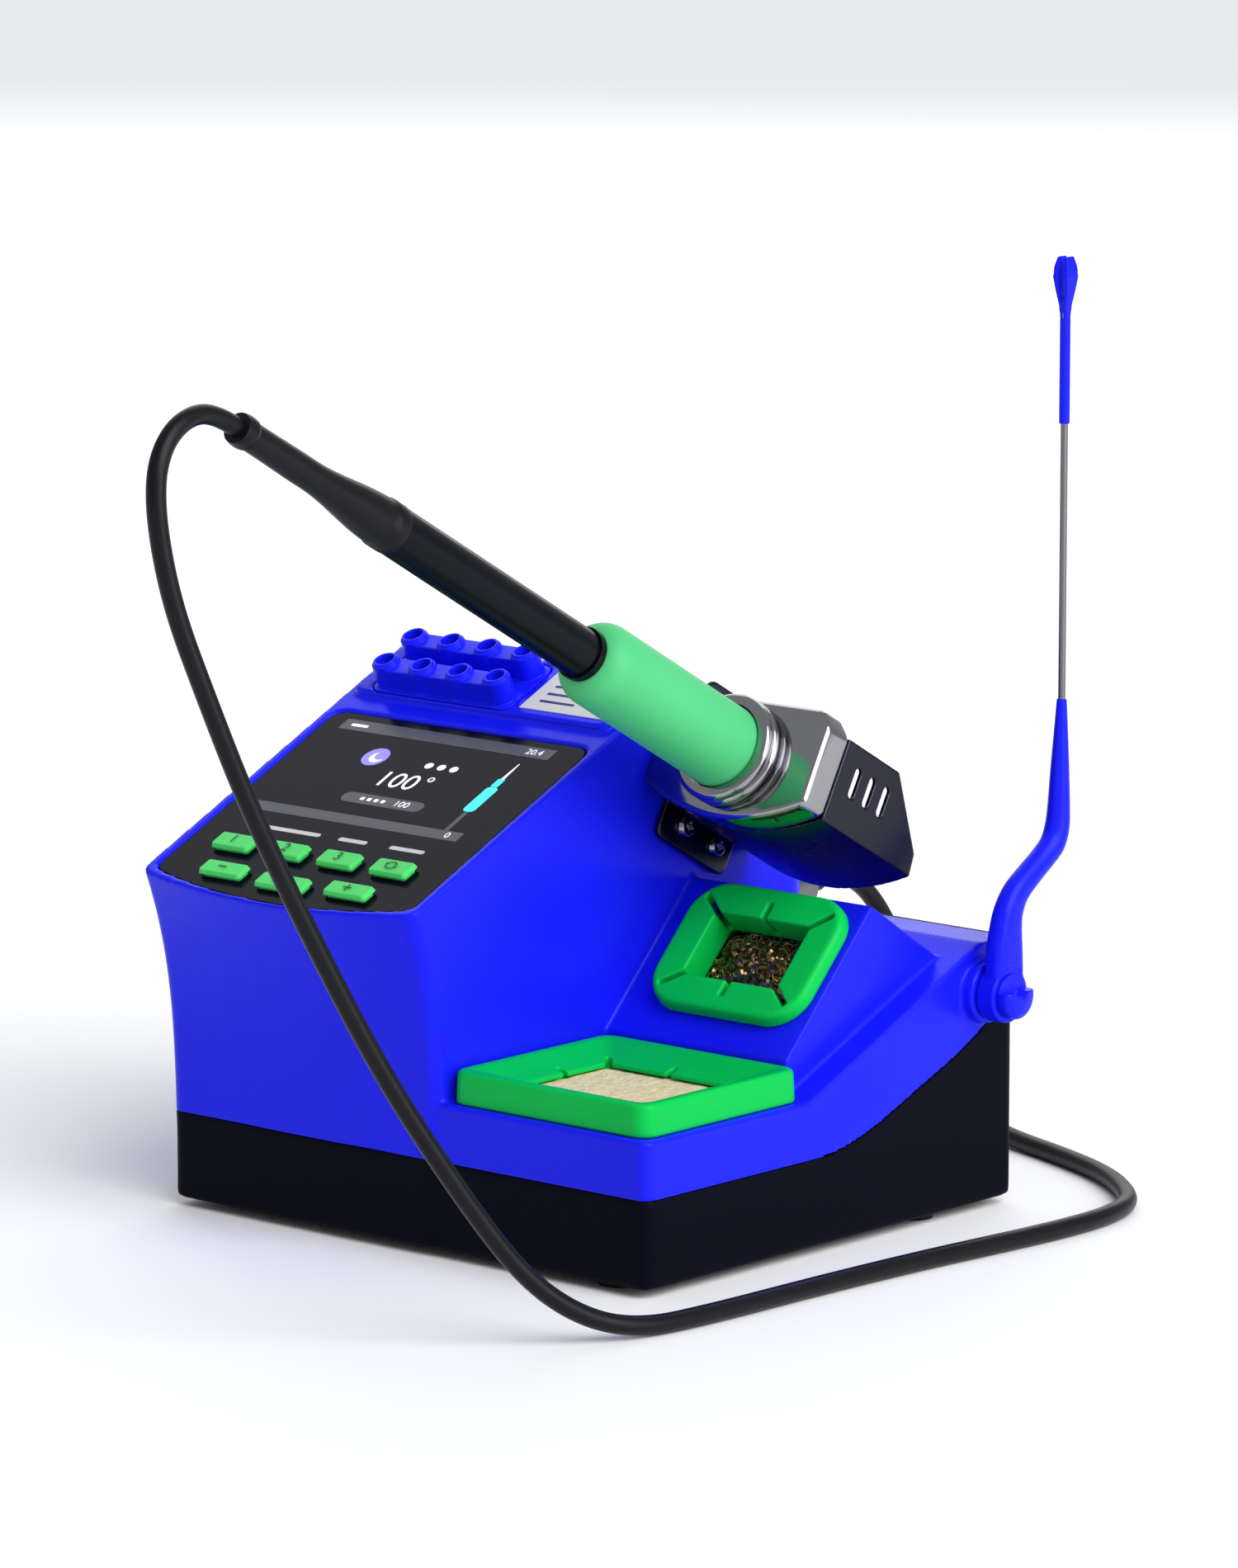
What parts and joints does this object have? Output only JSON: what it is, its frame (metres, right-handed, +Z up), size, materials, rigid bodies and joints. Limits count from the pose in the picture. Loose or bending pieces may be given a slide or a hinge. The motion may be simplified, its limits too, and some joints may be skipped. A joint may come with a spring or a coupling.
{
  "type": "soldering iron station",
  "caption": "Bench soldering station: sloping display with keys, iron in a leaning holder, sponge tray, wool cup, tip rack and a cable arm.",
  "frame": {"origin": "on the bench, below the centre of the housing, at the plane of the feet", "axes": "+X right along the front, +Y to the back, +Z up"},
  "size_m": [0.1867, 0.3179, 0.2297],
  "materials": {
    "blue_plastic": "satin moulded",
    "black_plastic": "fine texture",
    "black_gloss": "polished",
    "black_rubber": "satin",
    "green_silicone": "satin",
    "pale_green_silicone": "satin",
    "green_key": "satin moulded",
    "sponge_yellow": "open cell",
    "label_white": "printed",
    "brass": "curled swarf",
    "chrome": "polished",
    "dark_steel": "dark polished",
    "steel": "drawn",
    "board_green": "solder mask",
    "iron_core": "laminated",
    "aluminium": "extruded"
  },
  "bodies": {
    "base": {"lower_housing": "black_plastic", "upper_housing": "blue_plastic", "tip_rack": "blue_plastic", "display_window": "black_gloss", "screen_module": "black_plastic", "control_board": "board_green", "key_switches": "black_plastic", "deck_label": "label_white", "holder_front": "chrome", "holder_shroud": "dark_steel", "holder_screws": "chrome", "iron_cord": "black_rubber", "cord_socket": "steel", "cord_plug": "black_rubber", "guide_pin": "blue_plastic", "power_inlet": "black_plastic", "power_switch": "black_plastic", "power_board": "board_green", "transformer": "iron_core", "capacitors": "black_gloss", "heat_sink": "aluminium", "feet": "black_rubber", "housing_screws": "steel"},
    "iron": {"iron_grip": "pale_green_silicone", "iron_tube": "black_gloss", "contact_sleeve": "steel", "iron_boot": "black_rubber"},
    "cartridge": {"iron_cartridge": "steel"},
    "tray": {"sponge_tray": "green_silicone", "sponge": "sponge_yellow"},
    "cup": {"wool_cup": "green_silicone", "brass_wool": "brass"},
    "arm": {"guide_arm": "blue_plastic", "guide_rod": "steel", "guide_clip": "blue_plastic"},
    "rocker_body": {"rocker": "black_gloss"},
    "nut": {"plug_nut": "steel"},
    "button_1_body": {"button_1": "green_key"},
    "button_2_body": {"button_2": "green_key"},
    "button_3_body": {"button_3": "green_key"},
    "button_cycle_body": {"button_cycle": "green_key"},
    "button_minus_body": {"button_minus": "green_key"},
    "button_menu_body": {"button_menu": "green_key"},
    "button_plus_body": {"button_plus": "green_key"}
  },
  "joints": [
    {"name": "iron_lift", "type": "slide", "parent": "base", "child": "iron", "axis": [0, -0.8704, 0.4924], "range_m": [0, 0.11], "deforming": ["iron_cord"]},
    {"name": "cartridge_pull", "type": "slide", "parent": "iron", "child": "cartridge", "axis": [0, 0.8704, -0.4924], "range_m": [0, 0.024]},
    {"name": "tray_lift", "type": "slide", "parent": "base", "child": "tray", "axis": [0, 0, 1], "range_m": [0, 0.012]},
    {"name": "cup_pull", "type": "slide", "parent": "base", "child": "cup", "axis": [0, -0.7193, 0.6947], "range_m": [0, 0.014]},
    {"name": "arm_swing", "type": "hinge", "parent": "base", "child": "arm", "pos_m": [0.083, 0.05405, 0.0543], "axis": [1, 0, 0], "range_deg": [-20, 90]},
    {"name": "rocker_tilt", "type": "hinge", "parent": "base", "child": "rocker_body", "pos_m": [-0.012, 0.06575, 0.022], "axis": [1, 0, 0], "range_deg": [-14, 0]},
    {"name": "nut_turn", "type": "hinge", "parent": "base", "child": "nut", "pos_m": [-0.002, 0.0715, 0.0675], "axis": [0, 1, 0], "continuous": true},
    {"name": "button_1_press", "type": "slide", "parent": "base", "child": "button_1_body", "axis": [0, 0.421, -0.907], "range_m": [0, 0.0006], "stiffness_N_per_m": 500},
    {"name": "button_2_press", "type": "slide", "parent": "base", "child": "button_2_body", "axis": [0, 0.421, -0.907], "range_m": [0, 0.0006], "stiffness_N_per_m": 500},
    {"name": "button_3_press", "type": "slide", "parent": "base", "child": "button_3_body", "axis": [0, 0.421, -0.907], "range_m": [0, 0.0006], "stiffness_N_per_m": 500},
    {"name": "button_cycle_press", "type": "slide", "parent": "base", "child": "button_cycle_body", "axis": [0, 0.421, -0.907], "range_m": [0, 0.0006], "stiffness_N_per_m": 500},
    {"name": "button_minus_press", "type": "slide", "parent": "base", "child": "button_minus_body", "axis": [0, 0.421, -0.907], "range_m": [0, 0.0006], "stiffness_N_per_m": 500},
    {"name": "button_menu_press", "type": "slide", "parent": "base", "child": "button_menu_body", "axis": [0, 0.421, -0.907], "range_m": [0, 0.0006], "stiffness_N_per_m": 500},
    {"name": "button_plus_press", "type": "slide", "parent": "base", "child": "button_plus_body", "axis": [0, 0.421, -0.907], "range_m": [0, 0.0006], "stiffness_N_per_m": 500}
  ]
}
